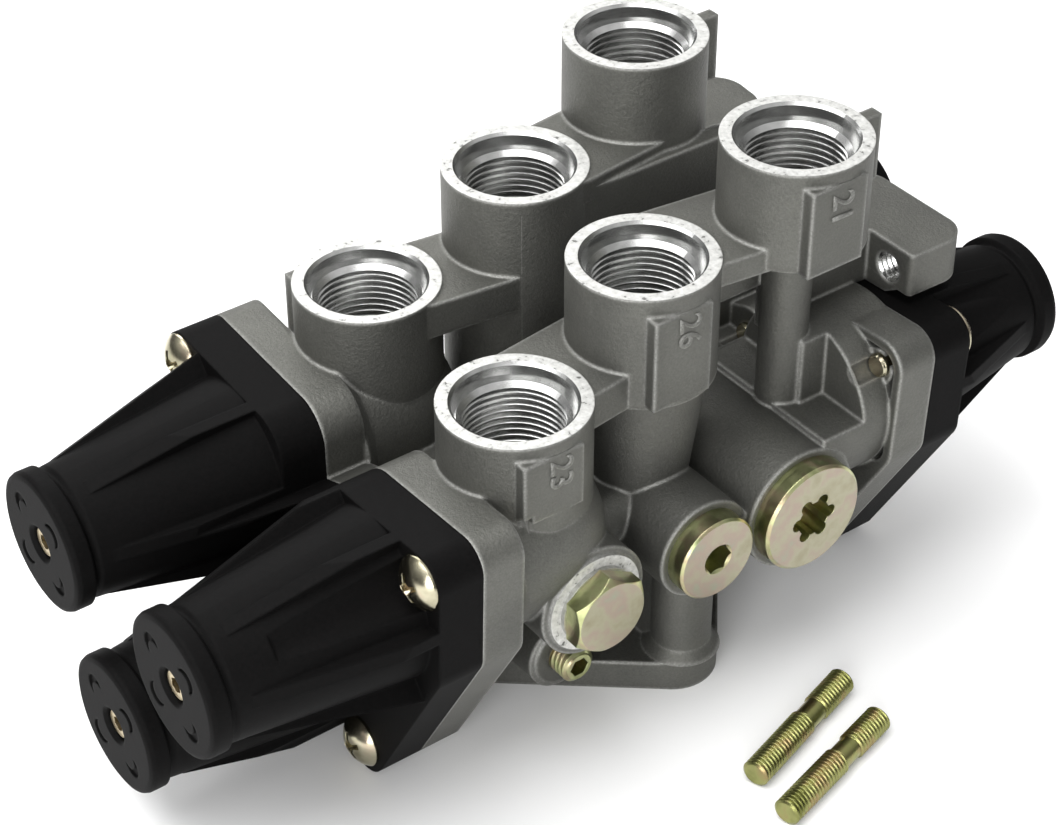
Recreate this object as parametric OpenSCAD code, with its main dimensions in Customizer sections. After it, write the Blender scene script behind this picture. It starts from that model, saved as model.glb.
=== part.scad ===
// Multi-circuit protection valve with five spring-loaded circuits and six service ports.
// Sizes in millimetres. The origin is where the inlet axis meets the mounting face, +Z is up.

/* [Service ports] */
// Nominal diameter of the port thread
port_thread_d = 22; // [18:0.5:27]
// Pitch of the port thread
port_pitch = 1.5; // [1:0.25:2]
// Depth of the threaded length
port_thread_len = 13.5; // [9:1.5:18]
// Diameter of the sealing counterbore
port_cbore_d = 24.5; // [22:0.5:28]
// Depth of the sealing counterbore
port_cbore_depth = 3.5; // [2:0.5:6]
// Outside radius of a port boss
port_boss_r = 15.4; // [13:0.1:18]
// Distance between neighbouring ports along the valve
port_spacing = 34.4; // [31:0.1:40]
// Height of each step from port to port
port_step = 17.2; // [8:0.1:22]
// Height of the lowest port rims above the mounting face
port_low_z = 84.5; // [80:0.5:95]
// Distance of the outer ports from the middle plane
port_row_y = 25.5; // [24:0.1:30]
// Distance of the middle ports from the middle plane
port_mid_y = 21.2; // [19:0.1:25]

/* [Circuits] */
// Height of the four upper valve axes
upper_axis_z = 53.5; // [50:0.5:60]
// Height of the single lower valve axis
lower_axis_z = 24.5; // [23.5:0.5:28]
// Outside radius of the left cast valve cylinders
cylinder_r = 18; // [17.5:0.1:20]
// Outside radius of the right cast valve cylinders
can_r = 19.5; // [18.5:0.1:20]
// Distance of the parting faces from the inlet axis
parting_x = 57.4; // [54:0.1:62]
// Thickness of the cast end flanges
cast_flange_t = 9.5; // [7:0.5:12]
// Stroke of a piston off its seat
piston_stroke = 3; // [1:0.5:4]
// Travel of a spring seat from its adjusting screw
adjust_travel = 2; // [0.5:0.5:3]

/* [Covers] */
// Thickness of the cover flanges
cover_flange_t = 10; // [8:0.5:12]
// Length of the left domes from the parting face
left_dome_len = 55.5; // [48:0.5:60]
// Length of the lower left dome from the parting face
lower_dome_len = 56.5; // [48:0.5:60]
// Length of the right domes from the parting face
right_dome_len = 45.7; // [42:0.1:50]
// Radius of the left dome ends
left_dome_r = 15; // [14:0.1:16]
// Radius of the right dome ends
right_dome_r = 14.2; // [13.5:0.1:15]
// Width of a dome rib
rib_w = 3; // [2:0.25:4]
// Number of ribs round a dome
rib_count = 6; // [4:1:8]
// Radial clearance of a piston in its cover
piston_clear = 0.06; // [0.01:0.01:0.1]
// Radial clearance of an adjusting screw in its cover
adjuster_clear = 0.06; // [0.01:0.01:0.1]

/* [Front plugs] */
// Height of the three drilled cross passages
plug_z = 42.5; // [40:0.5:46]
// Place of the hexagon-head plug along the valve
hex_plug_x = -27.9; // [-32:0.1:-24]
// Width across flats of the hexagon head
hex_plug_af = 16; // [13:1:19]
// Place of the big plug along the valve
big_plug_x = 24.2; // [22:0.1:30]
// Collar diameter of the big plug
big_collar_d = 25; // [23:0.5:27]
// Collar diameter of the small plug
small_collar_d = 19; // [17:0.5:21]

/* [Mounting] */
// Thickness of the mounting plate
plate_t = 7.3; // [6:0.1:10]
// Radius of the inlet bore
inlet_r = 8; // [7:0.5:9]
// Length of the inlet bore
inlet_len = 22; // [18:1:26]
// Nominal diameter of the lug threads and the set screw
lug_thread_d = 8; // [6:1:8]
// Nominal diameter of the loose studs
stud_d = 6; // [5:1:8]
// Pitch of the stud threads
stud_pitch = 1; // [0.75:0.25:1.25]
// Length of a loose stud
stud_len = 35; // [30:1:45]

/* [Hidden] */
$fn = 64;
joint = 0.01;
band_sink = 0.03;
port_bore_r = port_thread_d / 2 - 0.54 * port_pitch;
port_low = port_low_z;
port_mid = port_low_z + port_step;
port_high = port_low_z + 2 * port_step;
high_boss_low = port_mid - 5.2;
dome_wall_end = 4;
screw_thread_r = 3;
screw_hole_r = 2.6;
screw_head_r = 5.75;
screw_head_h = 3.6;
screw_len = 22;
piston_bore_r = 13.2;
piston_r = piston_bore_r - piston_clear;
adjuster_r = 3.5;
adjuster_hole_r = adjuster_r + adjuster_clear;
spring_wire_r = 1.1;
spring_mean_r = 9.2;
valve_seat_u = -3.5;
valve_seat_r = 7.4;
valve_bore_r = 5.5;
chamber_r = 14.5;
chamber_depth = 12;
pad_t = 2.2;
piston_land_u = 6;
spring_seat_t = 3;
spring_gap = 14.5;
screw_top = [41.2, 66.6];
screw_top_far = [45.2, 67.4];
screw_low = [17.5, 7.5];
screw_valley = [0, 51];
lobe_r = 7.3;
corner_r = 6;
big_thread_r = 10;
small_thread_r = 7;
hex_thread_r = 6;
plug_seat = 18;
big_plug_seat = 19.7;
spot_clear = 0.6;
can_x = 41;
neck_x = 30;
neck_floor_z = 56.7;
neck_wall = 6.2;
gallery_r = 4.5;
gallery_z = 50;
lug_x = 60.7;
lug_far_x = 73.5;
lug_hole_z = 78.5;
lug_front_y = -28;
lug_rear_y = 42;
seal_groove = 2.2;
cover_gap = 0.4;
set_screw_pos = [-21.9, -25, 12.5];
stud_one = [-6.3, -69.7, 3];
stud_two = [-8.3, -81.7, 3];
stud_one_angle = 17.4;
stud_two_angle = 15.3;

// Circuit places: side of the valve, y and z of the axis
circuit_a = [-1, port_row_y, upper_axis_z];
circuit_b = [-1, -port_row_y, upper_axis_z];
circuit_c = [-1, 0, lower_axis_z];
circuit_d = [1, -port_row_y, upper_axis_z];
circuit_e = [1, port_row_y, upper_axis_z];

function dome_len(c) = c[0] > 0 ? right_dome_len : c[1] == 0 ? lower_dome_len : left_dome_len;
function dome_r(c) = c[0] < 0 ? left_dome_r : right_dome_r;

// Tangent points of two circles [x, y, r], on the right of the way from a to b
function tangent(a, b) =
    let (dx = b[0] - a[0], dy = b[1] - a[1], d = sqrt(dx * dx + dy * dy))
    let (k = (a[2] - b[2]) / d, h = sqrt(1 - k * k))
    let (nx = (dx * k + dy * h) / d, ny = (dy * k - dx * h) / d)
    [[a[0] + nx * a[2], a[1] + ny * a[2]], [b[0] + nx * b[2], b[1] + ny * b[2]]];

// Tight band round circles given anticlockwise
module band(c) {
    n = len(c);
    inner = [for (p = c) [p[0], p[1], p[2] - band_sink]];
    polygon([for (i = [0 : n - 1]) each tangent(inner[i], inner[(i + 1) % n])]);
    for (p = c)
        translate([p[0], p[1]])
            circle(p[2]);
}

// Carry a shape drawn outward along +Z to the parting face of a circuit
module at_circuit(c) {
    translate([c[0] * parting_x, c[1], c[2]])
        rotate([0, c[0] * 90, 0])
            children();
}

// Extrude an outline drawn in [y, z] from one x to another
module slab_x(x0, x1) {
    translate([x0, 0, 0])
        rotate([90, 0, 90])
            linear_extrude(x1 - x0)
                children();
}

// Lay a shape drawn along +Z with its axis on -Y, its origin at a place
module toward_front(x, y, z) {
    translate([x, y, z])
        rotate([90, 0, 0])
            children();
}

// Outer profile of a threaded length, rings of the right pitch and depth
module thread_rings(r, pitch, length) {
    depth = 0.6 * pitch;
    n = floor(length / pitch);
    rotate_extrude()
        polygon(concat([[0, 0]],
            [for (i = [0 : n - 1]) each [
                [r - depth, i * pitch],
                [r, (i + 0.4) * pitch],
                [r, (i + 0.6) * pitch]]],
            [[r - depth, n * pitch], [0, n * pitch]]));
}

// One half of the end outline, grown by g, mirrored for the far side
module end_half(g, corner) {
    band([
        [corner[0], corner[1], corner_r + g],
        [16, 62.6, 8.6 + g],
        [14, 32, 7 + g],
        [screw_low[0], screw_low[1], lobe_r + g],
        [39.5, 46, 7 + g]]);
}

// Whole outline of a flange in [y, z], grown by g
module end_outline(g = 0) {
    mirror([1, 0])
        end_half(g, screw_top);
    end_half(g, screw_top_far);
    translate([0, lower_axis_z])
        circle(20 + g);
    band([
        [-18, 46, 5 + g],
        [-12, 34, 5 + g],
        [12, 34, 5 + g],
        [18, 46, 5 + g],
        [screw_valley[0], screw_valley[1], 6.5 + g]]);
}

module screw_places() {
    for (p = [[-screw_top[0], screw_top[1]], screw_top_far, screw_valley,
            [-screw_low[0], screw_low[1]], screw_low])
        translate([0, p[0], p[1]])
            children();
}

// Service port boss, drawn down from its rim
module boss(x, y, rim, low, r = port_boss_r) {
    translate([x, y, low])
        cylinder(h = rim - low, r = r);
}

// Web between two bosses seen from above, reaching further in than out
module web(a, b, r, top, t) {
    translate([0, 0, top - t])
        linear_extrude(t)
            band([
                [a[0], a[1] - 5, r],
                [b[0], b[1] - 5, r],
                [b[0], b[1], r],
                [a[0], a[1], r]]);
}

// Space of a service port: chamfer, counterbore, thread rings, core and passage
module port_space(x, y, rim, passage_r, passage_len) {
    translate([x, y, rim])
        rotate([180, 0, 0]) {
            translate([0, 0, -joint])
                cylinder(h = 0.6 + joint, r1 = port_cbore_d / 2 + 0.6, r2 = port_cbore_d / 2);
            cylinder(h = port_cbore_depth, r = port_cbore_d / 2);
            translate([0, 0, port_cbore_depth - joint])
                cylinder(h = 1, r1 = port_thread_d / 2 + 0.3, r2 = port_bore_r);
            translate([0, 0, port_cbore_depth])
                cylinder(h = port_thread_len + 1, r = port_bore_r);
            translate([0, 0, port_cbore_depth + 0.6])
                rotate_extrude()
                    polygon(concat([[0, 0]],
                        [for (i = [0 : floor(port_thread_len / port_pitch) - 1]) each [
                            [port_bore_r, i * port_pitch],
                            [port_bore_r, (i + 0.3) * port_pitch],
                            [port_thread_d / 2, (i + 0.6) * port_pitch],
                            [port_thread_d / 2, (i + 0.7) * port_pitch]]],
                        [[port_bore_r, port_thread_len], [0, port_thread_len]]));
            translate([0, 0, port_cbore_depth + port_thread_len + 1 - joint])
                cylinder(h = 3, r1 = port_bore_r, r2 = passage_r);
            cylinder(h = port_cbore_depth + port_thread_len + passage_len, r = passage_r);
        }
}

// Valve chamber in the casting: annular space round a raised seat
module chamber_space(c) {
    at_circuit(c) {
        difference() {
            translate([0, 0, -chamber_depth])
                cylinder(h = chamber_depth + 1, r = chamber_r);
            translate([0, 0, -chamber_depth - 1])
                cylinder(h = chamber_depth + 1 + valve_seat_u - 0.8, r = valve_seat_r);
            translate([0, 0, valve_seat_u - 0.8 - joint])
                cylinder(h = 0.8 + joint, r1 = valve_seat_r, r2 = valve_seat_r - 0.8);
        }
        translate([0, 0, -chamber_depth - 1])
            cylinder(h = chamber_depth + 2, r = valve_bore_r);
        // Edge broken where the cover spigot enters
        translate([0, 0, -0.8])
            cylinder(h = 0.8 + joint, r1 = chamber_r, r2 = chamber_r + 0.8);
    }
}

// Shallow pocket on the inward face of a cast flange, round its top front screw
module flange_pocket(side, mirrored) {
    x_in = side * (parting_x - cast_flange_t);
    x_deep = x_in + side * 5.5;
    difference() {
        slab_x(min(x_in - side, x_deep), max(x_in - side, x_deep))
            mirror([mirrored ? 1 : 0, 0])
                difference() {
                    band([
                        [screw_top[0], screw_top[1], corner_r - 2.2],
                        [22, 66.2, 4],
                        [39.5, 46, 4.8]]);
                    translate([port_row_y, upper_axis_z])
                        circle(cylinder_r + 1.6);
                    translate([screw_top[0] - 1.2, screw_top[1] - 1.2])
                        circle(4.2);
                }
    }
}

// Raised vertical pad on the front of a port boss
module front_pad(x, y, rim, low) {
    translate([x - 9, y - port_boss_r - 0.1, low])
        cube([14, port_boss_r, rim - low]);
}

module valve_housing() {
    color([0.66, 0.67, 0.67])
        difference() {
            union() {
                casting_cylinders();
                casting_ports();
                casting_front();
                casting_base();
                casting_lugs();
            }
            casting_spaces();
        }
}

// Left valve cylinder with a rounded inner end
module left_can(y) {
    translate([-parting_x, y, upper_axis_z])
        rotate([0, 90, 0])
            cylinder(h = parting_x - port_spacing, r = cylinder_r);
    translate([-port_spacing, y, upper_axis_z])
        sphere(r = cylinder_r - joint);
}

// Right valve cylinder, its inner end notched down to a floor and a rib
module right_can(y) {
    difference() {
        translate([neck_x, y, upper_axis_z])
            rotate([0, 90, 0])
                cylinder(h = parting_x - neck_x, r = can_r);
        for (low = [-2 * can_r - neck_wall, neck_wall])
            translate([neck_x - 1, y + low, neck_floor_z])
                cube([can_x - neck_x + 1, 2 * can_r, can_r]);
        translate([neck_x - 1, y - can_r, neck_floor_z])
            cube([port_spacing - neck_x + 1, 2 * can_r, can_r]);
    }
}

module casting_cylinders() {
    for (y = [-port_row_y, port_row_y]) {
        left_can(y);
        right_can(y);
    }
    translate([-parting_x, 0, lower_axis_z])
        rotate([0, 90, 0])
            cylinder(h = parting_x + 22, r = cylinder_r);
    // End flanges
    for (side = [-1, 1])
        slab_x(min(side * parting_x, side * (parting_x - cast_flange_t)),
            max(side * parting_x, side * (parting_x - cast_flange_t)))
            end_outline();
    // Collars where the left cylinders leave their flange
    for (y = [-port_row_y, port_row_y])
        translate([-parting_x + cast_flange_t, y, upper_axis_z])
            rotate([0, 90, 0])
                cylinder(h = 3, r1 = cylinder_r + 1.6, r2 = cylinder_r);
    // Core block between the left cylinders
    slab_x(-parting_x + 1, -8)
        band([
            [port_row_y, upper_axis_z - 8, 6],
            [-port_row_y, upper_axis_z - 8, 6],
            [-10, lower_axis_z, 6],
            [10, lower_axis_z, 6]]);
    // Lower core between the right cylinders
    slab_x(-9, parting_x - 1)
        band([
            [6, 44, 6],
            [-6, 44, 6],
            [-6, lower_axis_z, 6],
            [6, lower_axis_z, 6]]);
}

module casting_ports() {
    for (s = [-1, 1]) {
        boss(-port_spacing, s * port_row_y, port_low, upper_axis_z);
        boss(port_spacing, s * port_row_y, port_high, high_boss_low);
        // Slender column that carries the highest port
        boss(port_spacing, s * port_row_y, port_mid, upper_axis_z - 6, 5.2);
        // Webs from port to port, wider toward the middle plane
        mirror([0, s < 0 ? 1 : 0, 0]) {
            web([-port_spacing, port_row_y], [0, port_mid_y], 9, port_low - 0.6, 8);
            web([0, port_mid_y], [port_spacing, port_row_y], 9.5, port_mid - 0.6, 5.2);
            // The highest boss reaches lower on its inner side
            intersection() {
                boss(port_spacing, port_row_y, port_high, high_boss_low - 14);
                translate([0, 0, high_boss_low - 20])
                    cube([2 * port_spacing, port_row_y - 4, 40]);
            }
        }
        // Fins on the outer side of the highest ports
        translate([port_spacing + port_boss_r - 3, s * port_row_y - 1.5, port_mid])
            cube([8.9, 3, port_step - 2]);
    }
    // Middle bosses, the front one drawn in below its pad
    boss(0, port_mid_y, port_mid, plug_z);
    boss(0, -port_mid_y, port_mid, port_mid - 26);
    translate([0, -port_mid_y, plug_z])
        cylinder(h = port_mid - 26 - plug_z, r1 = 9.6, r2 = 13.8);
    // Inner wall of the rear row
    translate([-8, 8, lower_axis_z])
        cube([57, 4, port_mid - lower_axis_z - 3]);
    // Front pads
    front_pad(-port_spacing, -port_row_y, port_low - 3, port_low - 17);
    front_pad(0, -port_mid_y, port_mid - 4, port_mid - 25);
    front_pad(port_spacing, -port_row_y, port_high - 3, high_boss_low);
    // Pad on the rear low boss
    mirror([0, 1, 0])
        front_pad(-port_spacing - 1, -port_row_y - 0.3, port_low - 3, port_low - 17);
}

module casting_front() {
    // Bosses of the three closing plugs, two of them carried through to the rear row
    toward_front(hex_plug_x, -10, plug_z)
        cylinder(h = plug_seat + port_row_y - 10.8, r = 12.5);
    toward_front(hex_plug_x, -10, plug_z)
        cylinder(h = plug_seat + port_row_y - 10, r = 11);
    toward_front(0, port_row_y + 10, plug_z)
        cylinder(h = 2 * port_row_y + plug_seat + 10, r = 11.2);
    toward_front(big_plug_x, port_row_y + 12, plug_z)
        cylinder(h = 2 * port_row_y + big_plug_seat + 12, r = 14);
}

module casting_base() {
    // Mounting plate: rounded lozenge
    linear_extrude(plate_t)
        band([
            [4, -29.5, 10],
            [28, 0, 10.5],
            [4, 29.5, 10],
            [-31, 0, 10.5]]);
    // Inlet pipe
    cylinder(h = plug_z, r = 15);
    // Columns and ribs between the plate and the cylinders
    for (s = [-1, 1]) {
        translate([4.1, s * 32.5, 0])
            cylinder(h = plug_z, r = 6.5);
        translate([4.1, s * 32.5, plate_t - joint])
            cylinder(h = 2.5, r1 = 8.5, r2 = 6.5);
        translate([-1, min(0, s * 32.5), plate_t - joint])
            cube([4, 32.5, 30]);
    }
    // Lower boss that holds the set screw
    toward_front(set_screw_pos[0], 0, set_screw_pos[2])
        cylinder(h = -set_screw_pos[1], r = 8.5);
    toward_front(set_screw_pos[0], 0, set_screw_pos[2])
        cylinder(h = -set_screw_pos[1] + 0.6, r = 7.4);
}

// Lug bars with threads above the right flange, cut clear of the cover's flange
module casting_lugs() {
    difference() {
        lug_bars();
        slab_x(parting_x, lug_far_x + 1)
            end_outline(cover_gap);
    }
}

module lug_bars() {
    translate([0, 0, port_low - 10])
        linear_extrude(10) {
            band([
                [lug_x + 1.2, lug_front_y - 5.6, 1.2],
                [lug_x + 9.8, lug_front_y - 0.5, 6.5],
                [lug_x + 9.8, -9, 6.5],
                [lug_x + 1.2, -7, 1.2]]);
            band([
                [lug_x + 1.2, lug_rear_y - 10.4, 1.2],
                [lug_x + 8.3, lug_rear_y - 5, 8.6],
                [lug_x + 9.3, lug_rear_y - 1, 8],
                [lug_x + 1.2, lug_rear_y + 5, 1.2]]);
        }
    // Walls that carry the lugs
    for (y = [-port_row_y + 4, port_row_y + 5])
        translate([port_spacing, y, upper_axis_z + 15])
            cube([lug_x + 1 - port_spacing, 5, port_low - upper_axis_z - 15]);
    // Gusset under the front lug
    slab_x(lug_x, lug_x + 5)
        polygon([
            [-port_row_y + 5, port_low - 9],
            [-port_row_y + 5, upper_axis_z + 15],
            [-port_row_y + 3.5, upper_axis_z + 15],
            [lug_front_y - 4, port_low - 9.5]]);
}

module casting_spaces() {
    // Service ports
    for (s = [-1, 1]) {
        port_space(-port_spacing, s * port_row_y, port_low, 6.5, 8);
        port_space(0, s * port_mid_y, port_mid, 7, 18);
        port_space(port_spacing, s * port_row_y, port_high, 3, 24);
    }
    for (c = [circuit_a, circuit_b, circuit_c, circuit_d, circuit_e])
        chamber_space(c);
    // Inlet and supply galleries
    translate([0, 0, -joint])
        cylinder(h = inlet_len + joint, r = inlet_r);
    translate([0, 0, inlet_len - joint])
        cylinder(h = plug_z - inlet_len, r = inlet_r - 2);
    for (y = [-port_row_y, port_row_y]) {
        translate([-parting_x + chamber_depth - 1, y, gallery_z])
            rotate([0, 90, 0])
                cylinder(h = parting_x - chamber_depth + 1 + hex_plug_x, r = gallery_r);
        translate([big_plug_x, y, gallery_z])
            rotate([0, 90, 0])
                cylinder(h = parting_x - chamber_depth + 1 - big_plug_x, r = gallery_r);
    }
    toward_front(hex_plug_x, port_row_y, gallery_z - 4)
        cylinder(h = 2 * port_row_y, r = gallery_r);
    toward_front(0, port_row_y, plug_z)
        cylinder(h = port_row_y, r = gallery_r);
    toward_front(big_plug_x, port_row_y + 4, plug_z + 2)
        cylinder(h = port_row_y + 20, r = 7);
    translate([-parting_x + chamber_depth - 1, 0, lower_axis_z])
        rotate([0, 90, 0])
            cylinder(h = parting_x - chamber_depth, r = gallery_r);
    // Spot faces of the plugs
    toward_front(hex_plug_x, -port_row_y - plug_seat, plug_z)
        cylinder(h = 20, r = 11 + spot_clear);
    toward_front(0, -port_row_y - plug_seat, plug_z)
        cylinder(h = 20, r = small_collar_d / 2 + spot_clear);
    toward_front(big_plug_x, -port_row_y - big_plug_seat, plug_z)
        cylinder(h = 20, r = big_collar_d / 2 + spot_clear);
    // Drilled cross passages behind the plugs
    toward_front(hex_plug_x, 0, plug_z)
        cylinder(h = 50, r = hex_thread_r);
    toward_front(0, 0, plug_z)
        cylinder(h = 50, r = small_thread_r);
    toward_front(big_plug_x, -12, plug_z)
        cylinder(h = 50, r = big_thread_r);
    // Seal groove of the inlet
    difference() {
        translate([0, 0, -joint])
            cylinder(h = seal_groove + joint, r = 12.4);
        translate([0, 0, -1])
            cylinder(h = 4, r = 9.6);
    }
    // Cover screw holes
    for (side = [-1, 1])
        screw_places()
            translate([side * (parting_x + 1), 0, 0])
                rotate([0, -side * 90, 0])
                    cylinder(h = 17, r = screw_hole_r);
    // Set screw hole
    toward_front(set_screw_pos[0], set_screw_pos[1] + 14, set_screw_pos[2])
        cylinder(h = 20, r = lug_thread_d / 2);
    // Lug threads and the flats where they come out
    for (y = [lug_front_y, lug_rear_y]) {
        translate([lug_x - 1, y, lug_hole_z])
            rotate([0, 90, 0])
                cylinder(h = 20, r = lug_thread_d / 2 - 0.6);
        translate([lug_far_x, y, lug_hole_z])
            rotate([0, 90, 0])
                cylinder(h = 8, r = 5);
    }
    for (side = [-1, 1], mirrored = [true, false])
        flange_pocket(side, mirrored);
}

// Ribbed spring dome on the outside of a cover
module dome(c) {
    end_r = dome_r(c);
    length = dome_len(c);
    root_r = end_r + 3.2;
    at_circuit(c) {
        rotate_extrude()
            polygon([
                [0, 0],
                [root_r, 0],
                [root_r, cover_flange_t],
                [end_r - 0.9, length - 6.4],
                [end_r - 1.5, length - 5.6],
                [end_r - 1.5, length - 5],
                [end_r, length - 4.2],
                [end_r, length - 1.2],
                [end_r - 0.35, length - 0.35],
                [end_r - 1.2, length],
                [0, length]]);
        for (i = [0 : rib_count - 1])
            rotate([0, 0, i * 360 / rib_count + rib_phase(c)])
                translate([0, rib_w / 2, 0])
                    rotate([90, 0, 0])
                        linear_extrude(rib_w)
                            polygon([
                                [0, cover_flange_t - 1],
                                [end_r + 8.4, cover_flange_t - 1],
                                [end_r + 8.2, cover_flange_t],
                                [end_r - 0.6, length - 9],
                                [0, length - 9]]);
    }
}

function rib_phase(c) = c[0] < 0 ? 38 : -38;

// Space inside a dome: piston bore, spring chamber, screw hole and face details
module dome_space(c) {
    end_r = dome_r(c);
    length = dome_len(c);
    at_circuit(c) {
        translate([0, 0, -1])
            cylinder(h = 15, r = piston_bore_r);
        translate([0, 0, -joint])
            cylinder(h = 1, r1 = piston_bore_r + 0.8, r2 = piston_bore_r);
        translate([0, 0, 13.9])
            cylinder(h = 1.6, r1 = piston_bore_r, r2 = 11.6);
        translate([0, 0, 15])
            cylinder(h = length - 15 - dome_wall_end - 7, r = 11.6);
        cylinder(h = length + 1, r = adjuster_hole_r);
        translate([0, 0, length - 0.7])
            cylinder(h = 1, r1 = adjuster_hole_r, r2 = adjuster_hole_r + 1);
        // Four crescent recesses in the end face
        for (i = [0 : 3])
            rotate([0, 0, i * 90 + 45])
                translate([8.6, 0, length - 0.5])
                    difference() {
                        cylinder(h = 1, r = 2.6);
                        translate([-1.5, 0, -1])
                            cylinder(h = 3, r = 2.4);
                    }
    }
}

module cover(side, circuits) {
    color([0.09, 0.09, 0.09])
        difference() {
            union() {
                slab_x(min(side * parting_x, side * (parting_x + cover_flange_t)),
                    max(side * parting_x, side * (parting_x + cover_flange_t)))
                    end_outline();
                intersection() {
                    union()
                        for (c = circuits)
                            dome(c);
                    slab_x(side < 0 ? -130 : parting_x, side < 0 ? -parting_x : 130)
                        end_outline();
                }
            }
            for (c = circuits)
                dome_space(c);
            screw_places()
                translate([side * (parting_x - 1), 0, 0])
                    rotate([0, side * 90, 0])
                        cylinder(h = cover_flange_t + 2, r = screw_thread_r + 0.3);
            // Room for the screw heads beside the domes
            screw_places()
                translate([side * (parting_x + cover_flange_t), 0, 0])
                    rotate([0, side * 90, 0])
                        cylinder(h = 30, r = screw_head_r + 0.5);
        }
}

module left_cover() {
    cover(-1, [circuit_a, circuit_b, circuit_c]);
}

module right_cover() {
    cover(1, [circuit_d, circuit_e]);
}

// Pan-head screw with a cross recess, drawn outward from the cover face
module cover_screw() {
    difference() {
        union() {
            rotate_extrude()
                polygon([
                    [0, -screw_len + 1],
                    [screw_thread_r - 0.7, -screw_len + 1],
                    [screw_thread_r - 0.5, -screw_len + 1.6],
                    [screw_hole_r, -screw_len + 1.6],
                    [screw_hole_r, 0],
                    [0, 0]]);
            intersection() {
                cylinder(h = screw_head_h, r = screw_head_r);
                translate([0, 0, screw_head_h - 7])
                    sphere(r = 7);
            }
        }
        for (a = [0, 90])
            rotate([0, 0, a])
                translate([-2.9, -0.55, 1.4])
                    cube([5.8, 1.1, 4]);
        translate([0, 0, 1])
            cylinder(h = 4, r1 = 0.6, r2 = 1.9);
    }
}

module cover_screws(side) {
    color([0.83, 0.79, 0.6])
        screw_places()
            translate([side * (parting_x + cover_flange_t), 0, 0])
                rotate([0, side * 90, 0])
                    rotate([0, 0, 30])
                        cover_screw();
}

module left_cover_screws() {
    cover_screws(-1);
}

module right_cover_screws() {
    cover_screws(1);
}

module hex_plug() {
    seat = plug_seat;
    color([0.8, 0.77, 0.55])
        toward_front(hex_plug_x, -port_row_y, plug_z) {
            translate([0, 0, seat - 12])
                cylinder(h = 12.2, r = hex_thread_r);
            translate([0, 0, seat + 1])
                intersection() {
                    rotate([0, 0, 90])
                        cylinder(h = 4.5, r = hex_plug_af / 2 / cos(30), $fn = 6);
                    cylinder(h = 4.5, r1 = hex_plug_af / 2 + 5, r2 = hex_plug_af / 2 - 0.2);
                }
            translate([0, 0, seat])
                cylinder(h = 1.2, r = hex_thread_r);
        }
}

module hex_plug_seal() {
    color([0.75, 0.5, 0.3])
        toward_front(hex_plug_x, -port_row_y, plug_z)
            translate([0, 0, plug_seat])
                difference() {
                    cylinder(h = 1, r = 8.6);
                    translate([0, 0, -1])
                        cylinder(h = 3, r = hex_thread_r + 0.3);
                }
}

module small_plug() {
    seat = plug_seat;
    color([0.8, 0.77, 0.55])
        toward_front(0, -port_row_y, plug_z)
            difference() {
                union() {
                    translate([0, 0, seat - 12])
                        cylinder(h = 12.5, r = small_thread_r);
                    rotate_extrude()
                        polygon([
                            [0, seat],
                            [small_collar_d / 2, seat],
                            [small_collar_d / 2, seat + 3.9],
                            [small_collar_d / 2 - 0.5, seat + 4.4],
                            [0, seat + 4.4]]);
                }
                translate([0, 0, seat - 2])
                    cylinder(h = 8, r = 3 / cos(30), $fn = 6);
                translate([0, 0, seat + 3.9])
                    cylinder(h = 1, r1 = 3, r2 = 4.1);
            }
}

module big_plug() {
    seat = big_plug_seat;
    color([0.8, 0.77, 0.55])
        toward_front(big_plug_x, -port_row_y, plug_z)
            difference() {
                union() {
                    translate([0, 0, seat - 14])
                        cylinder(h = 14.5, r = big_thread_r);
                    rotate_extrude()
                        polygon([
                            [0, seat],
                            [big_collar_d / 2, seat],
                            [big_collar_d / 2, seat + 3.7],
                            [big_collar_d / 2 - 0.6, seat + 4.3],
                            [0, seat + 4.3]]);
                }
                translate([0, 0, seat - 3]) {
                    cylinder(h = 12, r = 4.1);
                    for (i = [0 : 5])
                        rotate([0, 0, i * 60])
                            translate([4.2, 0, 0])
                                cylinder(h = 12, r = 1.5);
                }
            }
}

module set_screw() {
    color([0.8, 0.76, 0.5])
        toward_front(set_screw_pos[0], set_screw_pos[1], set_screw_pos[2])
            difference() {
                union() {
                    translate([0, 0, -10])
                        cylinder(h = 10.6, r = lug_thread_d / 2);
                    translate([0, 0, 0.6])
                        thread_rings(lug_thread_d / 2, 1.25, 5);
                    translate([0, 0, 5])
                        cylinder(h = 0.9, r1 = 3.6, r2 = 3.1);
                }
                translate([0, 0, 0.5])
                    cylinder(h = 8, r = 2 / cos(30), $fn = 6);
            }
}

module inlet_seal() {
    color([0.06, 0.06, 0.06])
        difference() {
            translate([0, 0, 0.1])
                cylinder(h = seal_groove - 0.1, r = 12);
            cylinder(h = 6, r = 10, center = true);
        }
}

// Adjusting screw with a hexagon socket, its tip on the spring seat
module adjuster(c) {
    length = dome_len(c);
    color([0.72, 0.66, 0.5])
        at_circuit(c)
            difference() {
                union() {
                    translate([0, 0, length - spring_gap + spring_seat_t])
                        cylinder(h = spring_gap - spring_seat_t - 1.6, r = adjuster_r);
                    translate([0, 0, length - 1.6])
                        cylinder(h = 0.6, r1 = adjuster_r, r2 = adjuster_r - 0.5);
                }
                translate([0, 0, length - 5])
                    cylinder(h = 6, r = 1.5 / cos(30), $fn = 6);
            }
}

// Spring seat that the adjusting screw presses inward
module spring_seat(c) {
    length = dome_len(c);
    color([0.75, 0.75, 0.72])
        at_circuit(c)
            translate([0, 0, length - spring_gap])
                union() {
                    cylinder(h = 2, r = 10.8);
                    translate([0, 0, 2 - joint])
                        cylinder(h = spring_seat_t - 2 + joint, r = 6);
                    translate([0, 0, -3])
                        cylinder(h = 3 + joint, r1 = 6.4, r2 = 7.4);
                }
}

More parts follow.
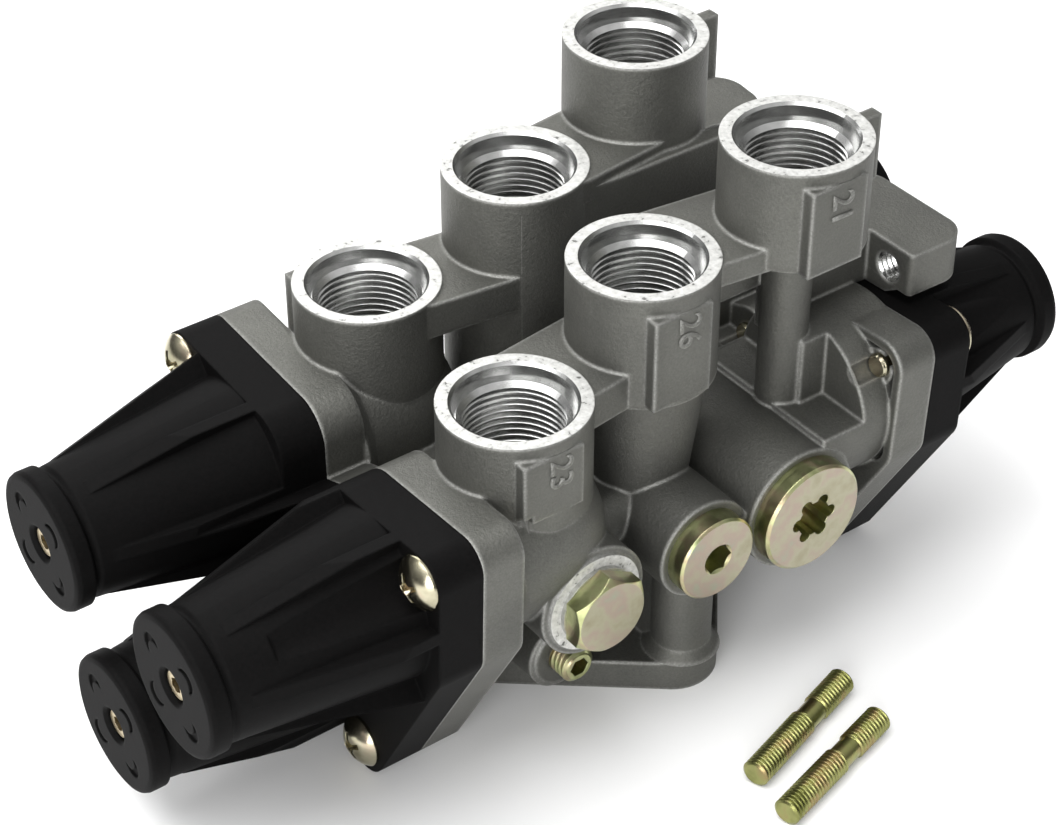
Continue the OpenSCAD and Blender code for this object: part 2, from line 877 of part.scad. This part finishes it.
// Round wire swept along a helix between two heights
module coil(low, high, turns) {
    steps = 16;
    sides = 6;
    n = turns * steps;
    rise = high - low - 2 * spring_wire_r;
    points = [for (i = [0 : n], j = [0 : sides - 1])
        let (a = i * 360 / steps, b = j * 360 / sides)
        let (r = spring_mean_r + spring_wire_r * cos(b))
        [r * cos(a), r * sin(a), low + spring_wire_r + rise * i / n + spring_wire_r * sin(b)]];
    sides_faces = [for (i = [0 : n - 1], j = [0 : sides - 1])
        let (k = (j + 1) % sides)
        [i * sides + j, (i + 1) * sides + j, (i + 1) * sides + k, i * sides + k]];
    ends = [[for (j = [0 : sides - 1]) j], [for (j = [sides - 1 : -1 : 0]) n * sides + j]];
    polyhedron(points, concat(sides_faces, ends), convexity = 6);
}

module pressure_spring(c) {
    color([0.6, 0.6, 0.58])
        at_circuit(c)
            coil(piston_land_u, dome_len(c) - spring_gap, 6);
}

// Piston: cup for the spring, groove for the seal ring and recess for the pad
module piston(c) {
    color([0.85, 0.83, 0.76])
        at_circuit(c)
            rotate_extrude()
                polygon([
                    [0, valve_seat_u + pad_t],
                    [7.5, valve_seat_u + pad_t],
                    [7.5, valve_seat_u + 0.6],
                    [8.6, valve_seat_u + 0.6],
                    [9.2, valve_seat_u + 1.2],
                    [9.2, 1],
                    [piston_r - 0.5, 1],
                    [piston_r, 1.5],
                    [piston_r, 2.5],
                    [11.5, 2.5],
                    [11.5, 4.5],
                    [piston_r, 4.5],
                    [piston_r, 8.5],
                    [piston_r - 0.5, 9],
                    [10.9, 9],
                    [10.9, piston_land_u],
                    [0, piston_land_u]]);
}

module seal_ring(c) {
    color([0.08, 0.08, 0.08])
        at_circuit(c)
            rotate_extrude()
                polygon([
                    [11.5, 2.6],
                    [piston_bore_r - 0.02, 2.6],
                    [piston_bore_r - 0.02, 2.9],
                    [12.7, 3.5],
                    [piston_bore_r - 0.02, 4.1],
                    [piston_bore_r - 0.02, 4.4],
                    [11.5, 4.4]]);
}

module valve_pad(c) {
    color([0.1, 0.1, 0.1])
        at_circuit(c)
            translate([0, 0, valve_seat_u])
                cylinder(h = pad_t, r = 7.2);
}

// Loose double-ended stud: long thread, waist and short thread
module loose_stud(place, angle) {
    waist = 5;
    short_len = 11;
    long_len = stud_len - waist - short_len;
    color([0.78, 0.74, 0.5])
        translate(place)
            rotate([0, 90, angle]) {
                thread_rings(stud_d / 2, stud_pitch, long_len);
                translate([0, 0, long_len - joint])
                    cylinder(h = waist + 2 * joint, r = stud_d / 2 - 0.4);
                translate([0, 0, long_len + waist])
                    thread_rings(stud_d / 2, stud_pitch, short_len);
            }
}

module loose_stud_1() {
    loose_stud(stud_one, stud_one_angle);
}

module loose_stud_2() {
    loose_stud(stud_two, stud_two_angle);
}

module adjuster_a() {
    adjuster(circuit_a);
}

module adjuster_b() {
    adjuster(circuit_b);
}

module adjuster_c() {
    adjuster(circuit_c);
}

module adjuster_d() {
    adjuster(circuit_d);
}

module adjuster_e() {
    adjuster(circuit_e);
}

module spring_seat_a() {
    spring_seat(circuit_a);
}

module spring_seat_b() {
    spring_seat(circuit_b);
}

module spring_seat_c() {
    spring_seat(circuit_c);
}

module spring_seat_d() {
    spring_seat(circuit_d);
}

module spring_seat_e() {
    spring_seat(circuit_e);
}

module spring_a() {
    pressure_spring(circuit_a);
}

module spring_b() {
    pressure_spring(circuit_b);
}

module spring_c() {
    pressure_spring(circuit_c);
}

module spring_d() {
    pressure_spring(circuit_d);
}

module spring_e() {
    pressure_spring(circuit_e);
}

module piston_a() {
    piston(circuit_a);
}

module piston_b() {
    piston(circuit_b);
}

module piston_c() {
    piston(circuit_c);
}

module piston_d() {
    piston(circuit_d);
}

module piston_e() {
    piston(circuit_e);
}

module seal_ring_a() {
    seal_ring(circuit_a);
}

module seal_ring_b() {
    seal_ring(circuit_b);
}

module seal_ring_c() {
    seal_ring(circuit_c);
}

module seal_ring_d() {
    seal_ring(circuit_d);
}

module seal_ring_e() {
    seal_ring(circuit_e);
}

module valve_pad_a() {
    valve_pad(circuit_a);
}

module valve_pad_b() {
    valve_pad(circuit_b);
}

module valve_pad_c() {
    valve_pad(circuit_c);
}

module valve_pad_d() {
    valve_pad(circuit_d);
}

module valve_pad_e() {
    valve_pad(circuit_e);
}

valve_housing();
left_cover();
right_cover();
left_cover_screws();
right_cover_screws();
hex_plug();
hex_plug_seal();
small_plug();
big_plug();
set_screw();
inlet_seal();
adjuster_a();
adjuster_b();
adjuster_c();
adjuster_d();
adjuster_e();
spring_seat_a();
spring_seat_b();
spring_seat_c();
spring_seat_d();
spring_seat_e();
spring_a();
spring_b();
spring_c();
spring_d();
spring_e();
piston_a();
piston_b();
piston_c();
piston_d();
piston_e();
seal_ring_a();
seal_ring_b();
seal_ring_c();
seal_ring_d();
seal_ring_e();
valve_pad_a();
valve_pad_b();
valve_pad_c();
valve_pad_d();
valve_pad_e();
loose_stud_1();
loose_stud_2();
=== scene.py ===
import math

import bmesh
import bpy
from mathutils import Matrix, Vector


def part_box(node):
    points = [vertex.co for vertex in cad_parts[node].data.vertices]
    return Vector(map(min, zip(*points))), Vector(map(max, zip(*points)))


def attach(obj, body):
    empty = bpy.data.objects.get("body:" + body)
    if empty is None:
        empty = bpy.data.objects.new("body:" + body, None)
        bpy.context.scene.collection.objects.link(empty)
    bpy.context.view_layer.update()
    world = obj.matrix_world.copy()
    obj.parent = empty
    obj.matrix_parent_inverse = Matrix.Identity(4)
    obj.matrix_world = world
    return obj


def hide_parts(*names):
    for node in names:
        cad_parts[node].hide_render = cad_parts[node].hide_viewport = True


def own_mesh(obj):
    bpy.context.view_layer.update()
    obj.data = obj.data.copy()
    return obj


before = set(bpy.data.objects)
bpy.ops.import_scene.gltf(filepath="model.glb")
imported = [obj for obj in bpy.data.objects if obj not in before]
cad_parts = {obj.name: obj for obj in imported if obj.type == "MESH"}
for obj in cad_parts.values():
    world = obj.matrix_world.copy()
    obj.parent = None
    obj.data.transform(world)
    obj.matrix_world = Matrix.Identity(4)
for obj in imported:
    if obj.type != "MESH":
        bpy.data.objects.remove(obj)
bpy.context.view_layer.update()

MM = 0.001

# Service ports 24, 23, 25, 26, 22 and 21: x, y and height of the rim. All is in millimetres
# where nothing else is said
PORTS = (
    (-34.4, 25.5, 84.5),
    (-34.4, -25.5, 84.5),
    (0.0, 21.2, 101.7),
    (0.0, -21.2, 101.7),
    (34.4, 25.5, 118.9),
    (34.4, -25.5, 118.9),
)
# A port is turned bright within this radius, from just above its rim down to this depth,
# and its flat steps start this far below the rim
TURNED_R = 13.0
TURNED_ABOVE = 0.1
TURNED_DEPTH = 20.0
STEP_DEPTH = 1.0
# The milled rim and the fin top beside it lie within this radius
RIM_R = 21.45
# Spot face under the hexagon plug: axis, radius and plane
SPOT_X, SPOT_Z = -27.9, 42.5
SPOT_R = 11.7
SPOT_Y = -43.5
# Planes of the cover seats, on both sides, and of the lugs' ends
SEAT_X = 57.4
LUG_END_X = 73.5
# A face points along an axis from this share of its normal, and lies on a plane within this distance
FLAT = 0.98
TOUCH = 0.05

# Raised numbers on the front pads: text, x, y of the pad and z of the middle
NUMBERS = (("23", -35.0, -41.0, 77.0), ("26", -0.9, -36.7, 93.0), ("21", 32.9, -41.0, 110.4))
NUMBER_H = 5.4
NUMBER_RELIEF = 0.35
# Height of a digit as a share of the font's size, and what its strokes gain on each side
DIGIT_SHARE = 0.72
STROKE_GAIN = 0.06

# Threaded lug holes: name of the ridges, y and z. Both share the ends along x and the sizes below
LUG_HOLES = (("lug_thread_front", -28.0, 78.5), ("lug_thread_rear", 42.0, 78.5))
LUG_X = (60.9, 73.3)
LUG_PITCH = 1.25
LUG_SLEEVE_R = 3.39
LUG_ROOT_R = 3.35
LUG_CREST_R = 2.85
LUG_STEPS = 40

CIRCUITS = "abcde"
# Edges of a spring stay sharp from this angle
SHARP_DEG = 40
# Vertices closer than this are one
MERGE = 0.001

# Sockets of a Mix node that mixes colours
MIX_A, MIX_B, MIX_RESULT = 6, 7, 2
# Cosines of the lean at which the painted highlight along an edge starts and is full
HIGHLIGHT_STARTS, HIGHLIGHT_FULL = 0.985, 0.8

# Side of the floor and height that the lights aim at, in metres
FLOOR_SIDE = 40
AIM_Z = 0.05
# Lights: name, place and side in metres, watts
LIGHTS = (
    ("key_light", (-0.35, 0.05, 0.9), 0.9, 10.5),
    ("front_light", (-0.85, -0.75, 0.4), 0.7, 9.5),
    ("back_light", (0.2, 0.8, 0.6), 0.6, 4.0),
)


def linear(hexa):
    """sRGB hex to linear colour with full alpha."""
    out = []
    for i in (0, 2, 4):
        v = int(hexa[i:i + 2], 16) / 255
        out.append(v / 12.92 if v <= 0.04045 else ((v + 0.055) / 1.055) ** 2.4)
    return (*out, 1.0)


def every(mm):
    """Noise scale that gives features about this many millimetres apart."""
    return 1 / (mm * MM)


def node(tree, kind, settings=None, links=None, stops=()):
    """Adds a shader node. A setting goes by the name of a socket or property, a link by the name or number
    of its socket. A link comes from a socket or from a node's first output. Stops belong to a colour ramp."""
    n = tree.nodes.new(kind)
    for key, value in (settings or {}).items():
        if key in n.inputs:
            n.inputs[key].default_value = value
        else:
            setattr(n, key, value)
    for key, source in (links or {}).items():
        tree.links.new(source.outputs[0] if isinstance(source, bpy.types.Node) else source, n.inputs[key])
    for i, (position, hexa) in enumerate(stops):
        if i == len(n.color_ramp.elements):
            n.color_ramp.elements.new(1.0)
        n.color_ramp.elements[i].position = position
        n.color_ramp.elements[i].color = linear(hexa)
    return n


def new_material(name):
    """An empty node material: itself, its tree and the link that lays a pattern on the object."""
    material = bpy.data.materials.new(name)
    material.use_nodes = True
    tree = material.node_tree
    tree.nodes.clear()
    return material, tree, {"Vector": node(tree, "ShaderNodeTexCoord").outputs["Object"]}


def surfaced(material, settings, links=None):
    """Ends a material with its surface shader and output."""
    tree = material.node_tree
    surface = node(tree, "ShaderNodeBsdfPrincipled", settings, links)
    node(tree, "ShaderNodeOutputMaterial", links={"Surface": surface})
    return material


def painted_edge_highlight(tree, soft):
    """Mask of the painted highlight: grows from 0 on flats to 1 along edges and creases, where the rounded
    normal leans away from the face.
    """
    face = node(tree, "ShaderNodeNewGeometry").outputs["True Normal"]
    lean = node(tree, "ShaderNodeVectorMath", {"operation": "DOT_PRODUCT"}, {0: face, 1: soft})
    reach = {"From Min": HIGHLIGHT_STARTS, "From Max": HIGHLIGHT_FULL, "To Min": 0.0, "To Max": 1.0}
    return node(tree, "ShaderNodeMapRange", reach, {"Value": lean.outputs["Value"]})


def die_cast_aluminium():
    """Gravity die-cast aluminium, shot-blasted: satin grey with a fine pebbled grain, faint cloudy stains
    and a painted highlight along edges and creases, broken in stretches."""
    m, t, place = new_material("cast_aluminium_shot_blasted")
    # Stains some 20 mm across, and a speckle as fine as the shot marks
    cloud = node(t, "ShaderNodeTexNoise", {"Scale": every(20), "Detail": 4.0, "Roughness": 0.6}, place)
    speckle = node(t, "ShaderNodeTexNoise", {"Scale": every(0.5), "Detail": 2.0, "Roughness": 0.6}, place)
    stains = node(t, "ShaderNodeValToRGB", links={"Fac": cloud},
                  stops=((0.3, "666662"), (0.55, "70706b"), (0.8, "797974")))
    grey = node(t, "ShaderNodeValToRGB", links={"Fac": speckle}, stops=((0.3, "5c5c5c"), (0.7, "a4a4a4")))
    tone = node(t, "ShaderNodeMix", {"data_type": "RGBA", "blend_type": "OVERLAY", "Factor": 0.35},
                {MIX_A: stains, MIX_B: grey})
    soft = node(t, "ShaderNodeBevel", {"samples": 6, "Radius": 1.5 * MM})
    # Painted highlight: a pale colour along edges and creases, where fillets catch the light, broken up by
    # the speckle
    broken = node(t, "ShaderNodeMath", {"operation": "MULTIPLY"}, {0: painted_edge_highlight(t, soft), 1: speckle})
    highlit_tone = node(t, "ShaderNodeMix", {"data_type": "RGBA"},
                {"Factor": broken, MIX_A: tone.outputs[MIX_RESULT]})
    highlit_tone.inputs[MIX_B].default_value = linear("c4c4c0")
    # Shot marks of about 0.4 mm over a pebbled skin of about 0.9 mm
    marks = node(t, "ShaderNodeTexNoise", {"Scale": every(0.4), "Detail": 3.0, "Roughness": 0.7}, place)
    skin = node(t, "ShaderNodeTexNoise", {"Scale": every(0.9), "Detail": 2.0, "Roughness": 0.5}, place)
    height = node(t, "ShaderNodeMath", {"operation": "ADD"}, {0: marks, 1: skin})
    bump = node(t, "ShaderNodeBump", {"Strength": 0.7, "Distance": 0.14 * MM},
                {"Height": height, "Normal": soft})
    return surfaced(m, {"Metallic": 0.8, "Roughness": 0.55},
                    {"Base Color": highlit_tone.outputs[MIX_RESULT], "Normal": bump})


def machined_aluminium():
    """Turned aluminium: bright, with streaked reflections some 6 mm apart."""
    m, t, place = new_material("machined_aluminium")
    streak = node(t, "ShaderNodeTexNoise", {"Scale": every(6), "Detail": 3.0}, place)
    colour = node(t, "ShaderNodeValToRGB", links={"Fac": streak}, stops=((0.3, "a8a9a7"), (0.7, "cccccb")))
    bump = node(t, "ShaderNodeBump", {"Strength": 0.15, "Distance": 0.1 * MM}, {"Height": streak})
    return surfaced(m, {"Metallic": 1.0, "Roughness": 0.24}, {"Base Color": colour, "Normal": bump})


def milled_rim():
    """Milled rim of a casting: pale and nearly matt, with nicks of a millimetre or less."""
    m, t, place = new_material("milled_aluminium_rim")
    nick = node(t, "ShaderNodeTexNoise", {"Scale": every(1.4), "Detail": 3.0, "Roughness": 0.7}, place)
    colour = node(t, "ShaderNodeValToRGB", links={"Fac": nick},
                  stops=((0.32, "5f5f5c"), (0.38, "b4b4b1"), (0.7, "d4d4d1")))
    soft = node(t, "ShaderNodeBevel", {"samples": 4, "Radius": 0.35 * MM})
    bump = node(t, "ShaderNodeBump", {"Strength": 0.3, "Distance": 0.2 * MM},
                {"Height": nick, "Normal": soft})
    return surfaced(m, {"Metallic": 0.35, "Roughness": 0.5}, {"Base Color": colour, "Normal": bump})


def glass_filled_nylon():
    """Moulded black glass-filled nylon: satin black with broad soft highlights and a faint flow texture."""
    m, t, place = new_material("nylon_glass_filled_black")
    flow = node(t, "ShaderNodeTexNoise", {"Scale": every(0.8), "Detail": 4.0, "Roughness": 0.7}, place)
    colour = node(t, "ShaderNodeValToRGB", links={"Fac": flow}, stops=((0.3, "080808"), (0.7, "0e0d0d")))
    soft = node(t, "ShaderNodeBevel", {"samples": 4, "Radius": 0.8 * MM})
    bump = node(t, "ShaderNodeBump", {"Strength": 0.35, "Distance": 0.1 * MM},
                {"Height": flow, "Normal": soft})
    return surfaced(m, {"Roughness": 0.6, "IOR": 1.5, "Specular IOR Level": 0.055},
                    {"Base Color": colour, "Normal": bump})


def yellow_zinc(name, deep, pale, rose, green, roughness):
    """Steel, zinc plated and yellow passivated: straw metal with a faint green and pink bloom."""
    m, t, place = new_material(name)
    bloom = node(t, "ShaderNodeTexNoise", {"Scale": every(7.5), "Detail": 3.0, "Roughness": 0.6}, place)
    colour = node(t, "ShaderNodeValToRGB", links={"Fac": bloom},
                  stops=((0.3, deep), (0.5, pale), (0.62, rose), (0.75, green)))
    fine = node(t, "ShaderNodeTexNoise", {"Scale": every(0.7), "Detail": 2.0}, place)
    soft = node(t, "ShaderNodeBevel", {"samples": 4, "Radius": 0.3 * MM})
    bump = node(t, "ShaderNodeBump", {"Strength": 0.12, "Distance": 0.1 * MM},
                {"Height": fine, "Normal": soft})
    return surfaced(m, {"Metallic": 1.0, "Roughness": roughness}, {"Base Color": colour, "Normal": bump})


def small_part(name, deep, pale, patch_mm, roughness, metallic):
    """Finish of a small part: two tones in patches of a given size, with a faint relief of the same size."""
    m, t, place = new_material(name)
    patch = node(t, "ShaderNodeTexNoise", {"Scale": every(patch_mm), "Detail": 3.0, "Roughness": 0.6}, place)
    colour = node(t, "ShaderNodeValToRGB", links={"Fac": patch}, stops=((0.35, deep), (0.65, pale)))
    soft = node(t, "ShaderNodeBevel", {"samples": 4, "Radius": 0.15 * MM})
    bump = node(t, "ShaderNodeBump", {"Strength": 0.15, "Distance": 0.1 * MM},
                {"Height": patch, "Normal": soft})
    return surfaced(m, {"Metallic": metallic, "Roughness": roughness}, {"Base Color": colour, "Normal": bump})


CAST = die_cast_aluminium()
TURNED = machined_aluminium()
RIM = milled_rim()
NYLON = glass_filled_nylon()
# Plugs and set screw: yellow passivated, glossy on their flats
ZINC = yellow_zinc("steel_yellow_zinc", "8a8f62", "bcc08f", "b5a688", "a0b07e", 0.28)
# Studs: a thicker, darker olive coat
STUD = yellow_zinc("steel_stud_yellow_zinc", "6a6c3c", "93945f", "96845e", "7c8752", 0.3)
# Cover screws: nearly colourless and bright
PAN_HEAD = yellow_zinc("steel_pale_zinc", "8f8a72", "bcb69e", "bbad97", "aeb298", 0.2)
# Outer faces of the plugs, turned before plating: dull
FACED = yellow_zinc("steel_faced_zinc", "969078", "a8a48e", "a8998c", "9ba38f", 0.4)
# Springs and their seats: drawn and pressed steel, phosphated to a grey sheen
STEEL = small_part("spring_steel_phosphated", "6f6f6c", "94948f", 1.5, 0.35, 1.0)
# Seals: moulded black nitrile rubber, dull
RUBBER = small_part("nitrile_rubber_black", "0d0d0d", "191918", 0.8, 0.7, 0.0)
# Washer: soft bare aluminium, pale grey
WASHER = small_part("aluminium_washer", "a6a6a2", "c2c2be", 1.2, 0.35, 1.0)
# Adjusting screws: zinc plated steel with a warm tint
ADJUSTER = small_part("adjuster_steel_zinc", "b3a383", "cdbf9f", 1.0, 0.3, 1.0)

# Finish by the start of a node's name: the first that fits counts
FINISHES = (
    ("valve_housing", CAST),
    ("left_cover_screws", PAN_HEAD),
    ("right_cover_screws", PAN_HEAD),
    ("left_cover", NYLON),
    ("right_cover", NYLON),
    ("hex_plug_seal", WASHER),
    ("hex_plug", ZINC),
    ("small_plug", ZINC),
    ("big_plug", ZINC),
    ("set_screw", ZINC),
    ("loose_stud_", STUD),
    ("inlet_seal", RUBBER),
    ("adjuster_", ADJUSTER),
    ("spring_", STEEL),
    ("piston_", TURNED),
    ("seal_ring_", RUBBER),
    ("valve_pad_", RUBBER),
)


def finish_nodes():
    """Gives every CAD node its finish."""
    for name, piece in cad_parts.items():
        piece.data.materials.clear()
        piece.data.materials.append(next(finish for start, finish in FINISHES if name.startswith(start)))


def face_finish(name, finish, *tests):
    """Gives a second finish to the faces of a node that pass a test of their centre and normal."""
    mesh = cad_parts[name].data
    mesh.materials.append(finish)
    index = len(mesh.materials) - 1
    for face in mesh.polygons:
        if any(test(face.center / MM, face.normal) for test in tests):
            face.material_index = index


def in_port(centre, normal):
    """Turned walls and steps inside a port."""
    return any(math.hypot(centre.x - x, centre.y - y) < TURNED_R
               and rim - TURNED_DEPTH < centre.z < rim + TURNED_ABOVE
               and (abs(normal.z) < FLAT or centre.z < rim - STEP_DEPTH) for x, y, rim in PORTS)


def on_rim(centre, normal):
    """Milled rim of a port."""
    return normal.z > FLAT and any(
        abs(centre.z - rim) < TOUCH and math.hypot(centre.x - x, centre.y - y) < RIM_R for x, y, rim in PORTS)


def on_spot_face(centre, normal):
    """Milled spot face under the hexagon plug."""
    return (normal.y < -FLAT and abs(centre.y - SPOT_Y) < TOUCH
            and math.hypot(centre.x - SPOT_X, centre.z - SPOT_Z) < SPOT_R)


def on_lug_end(centre, normal):
    """Milled end of a lug."""
    return normal.x > FLAT and abs(centre.x - LUG_END_X) < TOUCH


def on_seat(centre, normal):
    """Milled seats of the covers, and the mounting face."""
    return ((abs(normal.x) > FLAT and abs(abs(centre.x) - SEAT_X) < TOUCH)
            or (normal.z < -FLAT and centre.z < TOUCH))


def on_front(_, normal):
    """Front face of a plug."""
    return normal.y < -FLAT


def new_piece(name, bm, finish):
    """A finished bmesh as a piece of the valve that rides on its body."""
    mesh = bpy.data.meshes.new(name)
    bm.to_mesh(mesh)
    bm.free()
    mesh.materials.append(finish)
    piece = bpy.data.objects.new(name, mesh)
    bpy.context.collection.objects.link(piece)
    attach(piece, "valve")
    return piece


def raised_number(text, x, y, z):
    """A cast number on a front pad, its top turned toward +X, read downward."""
    data = bpy.data.curves.new("number_curve", "FONT")
    data.body = text
    data.size = NUMBER_H / DIGIT_SHARE
    data.extrude = NUMBER_RELIEF
    data.offset = STROKE_GAIN
    data.align_x = "CENTER"
    data.align_y = "CENTER"
    shape = bpy.data.objects.new("number_shape", data)
    bpy.context.collection.objects.link(shape)
    bpy.context.view_layer.update()
    bm = bmesh.new()
    bm.from_mesh(shape.to_mesh())
    shape.to_mesh_clear()
    bpy.data.objects.remove(shape)
    bmesh.ops.remove_doubles(bm, verts=bm.verts, dist=MERGE)
    # Reading way onto -Z, letter top onto +X, relief onto -Y
    turn = Matrix(((0, 1, 0), (0, 0, -1), (-1, 0, 0))).to_4x4()
    bmesh.ops.transform(bm, matrix=Matrix.Scale(MM, 4) @ Matrix.Translation((x, y, z)) @ turn, verts=bm.verts)
    new_piece("port_number_" + text, bm, CAST)


def lug_thread(name, y, z):
    """Thread ridges inside a lug hole: one sleeve with a toothed bore, turned round X."""
    start, end = LUG_X
    outline = [(end, LUG_SLEEVE_R), (start, LUG_SLEEVE_R)]
    # Each turn rises from the root to a short crest, at these shares of the pitch
    for i in range(int((end - start) / LUG_PITCH)):
        outline += [(start + (i + share) * LUG_PITCH, r)
                    for share, r in ((0.1, LUG_ROOT_R), (0.5, LUG_CREST_R), (0.6, LUG_CREST_R))]
    bm = bmesh.new()
    verts = [bm.verts.new((x, 0, r)) for x, r in outline]
    edges = [bm.edges.new(pair) for pair in zip(verts, verts[1:] + verts[:1])]
    bmesh.ops.spin(bm, geom=verts + edges, cent=(0, 0, 0), axis=(1, 0, 0), dvec=(0, 0, 0),
                   angle=math.tau, steps=LUG_STEPS, use_merge=True, use_duplicate=False)
    bmesh.ops.recalc_face_normals(bm, faces=bm.faces)
    bmesh.ops.transform(bm, matrix=Matrix.Scale(MM, 4) @ Matrix.Translation((0, y, z)), verts=bm.verts)
    new_piece(name, bm, TURNED)


def spring_half(circuit, end):
    """The inner or outer half of a circuit's spring, cut across X at its middle and closed at the cut."""
    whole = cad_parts["spring_" + circuit]
    low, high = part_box(whole.name)
    middle = (low + high) / 2
    outward = Vector((math.copysign(1, middle.x), 0, 0))
    bm = bmesh.new()
    bm.from_mesh(whole.data)
    bmesh.ops.remove_doubles(bm, verts=bm.verts, dist=MERGE * MM)
    cut = bmesh.ops.bisect_plane(bm, geom=bm.verts[:] + bm.edges[:] + bm.faces[:], plane_co=middle,
                                 plane_no=outward, clear_outer=end == "inner", clear_inner=end == "outer")
    bmesh.ops.holes_fill(bm, edges=[e for e in cut["geom_cut"] if isinstance(e, bmesh.types.BMEdge)])
    bmesh.ops.recalc_face_normals(bm, faces=bm.faces)
    half = new_piece("spring_" + circuit + "_" + end, bm, STEEL)
    half.data.set_sharp_from_angle(angle=math.radians(SHARP_DEG))
    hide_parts(whole.name)
    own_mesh(half)


def floor():
    """Plain pale floor."""
    bpy.ops.mesh.primitive_plane_add(size=FLOOR_SIDE, location=(0, 0, 0))
    plane = bpy.context.object
    plane.name = "floor"
    m, _, _ = new_material("pale_floor")
    plane.data.materials.append(surfaced(m, {"Base Color": linear("f4f4f4"), "Roughness": 0.9}))


def studio_light():
    """Soft lights, and a room that is grey at the horizon and pale overhead."""
    scene = bpy.context.scene
    scene.world = bpy.data.worlds.new("studio")
    scene.world.use_nodes = True
    scene.view_settings.view_transform = "Standard"
    tree = scene.world.node_tree
    way = node(tree, "ShaderNodeTexCoord").outputs["Generated"]
    height = node(tree, "ShaderNodeSeparateXYZ", links={"Vector": way}).outputs["Z"]
    room = node(tree, "ShaderNodeValToRGB", links={"Fac": height},
                stops=((0.0, "585858"), (0.3, "7e7e7e"), (0.75, "f4f4f4")))
    background = tree.nodes["Background"]
    tree.links.new(room.outputs["Color"], background.inputs["Color"])
    background.inputs["Strength"].default_value = 0.9

    for name, place, side, watts in LIGHTS:
        data = bpy.data.lights.new(name, "AREA")
        data.shape = "SQUARE"
        data.size = side
        data.energy = watts
        lamp = bpy.data.objects.new(name, data)
        bpy.context.collection.objects.link(lamp)
        lamp.location = place
        lamp.rotation_mode = "QUATERNION"
        lamp.rotation_quaternion = (Vector((0, 0, AIM_Z)) - Vector(place)).to_track_quat("-Z", "Y")


def camera():
    """The photograph's camera, from the fitted place, azimuth, elevation, roll and focal length."""
    azimuth, elevation, roll = math.radians(-36.45), math.radians(37.193), math.radians(-0.046)
    place = Vector((-267.59, -346.58, 382.45)) * MM
    width, height = 1056, 825
    focal_px, centre_x, centre_y = 2594.654, 530.999, 413.769
    data = bpy.data.cameras.new("camera")
    cam = bpy.data.objects.new("camera", data)
    bpy.context.collection.objects.link(cam)
    bpy.context.scene.camera = cam
    data.sensor_width = 36
    data.lens = focal_px / width * data.sensor_width
    data.shift_x = (width / 2 - centre_x) / width
    data.shift_y = (centre_y - height / 2) / width
    data.clip_start, data.clip_end = 0.01, 20
    back = Vector((math.sin(azimuth) * math.cos(elevation), -math.cos(azimuth) * math.cos(elevation),
                   math.sin(elevation)))
    right = Vector((math.cos(azimuth), math.sin(azimuth), 0))
    up = back.cross(right)
    turn = Matrix((right, up, back)).transposed() @ Matrix.Rotation(roll, 3, "Z")
    cam.matrix_world = Matrix.Translation(place) @ turn.to_4x4()


finish_nodes()
face_finish("valve_housing", TURNED, in_port, on_seat, on_lug_end)
face_finish("valve_housing", RIM, on_rim, on_spot_face)
for plug in ("hex_plug", "small_plug", "big_plug"):
    face_finish(plug, FACED, on_front)
for number in NUMBERS:
    raised_number(*number)
for hole in LUG_HOLES:
    lug_thread(*hole)
for circuit in CIRCUITS:
    spring_half(circuit, "inner")
    spring_half(circuit, "outer")
floor()
studio_light()
camera()
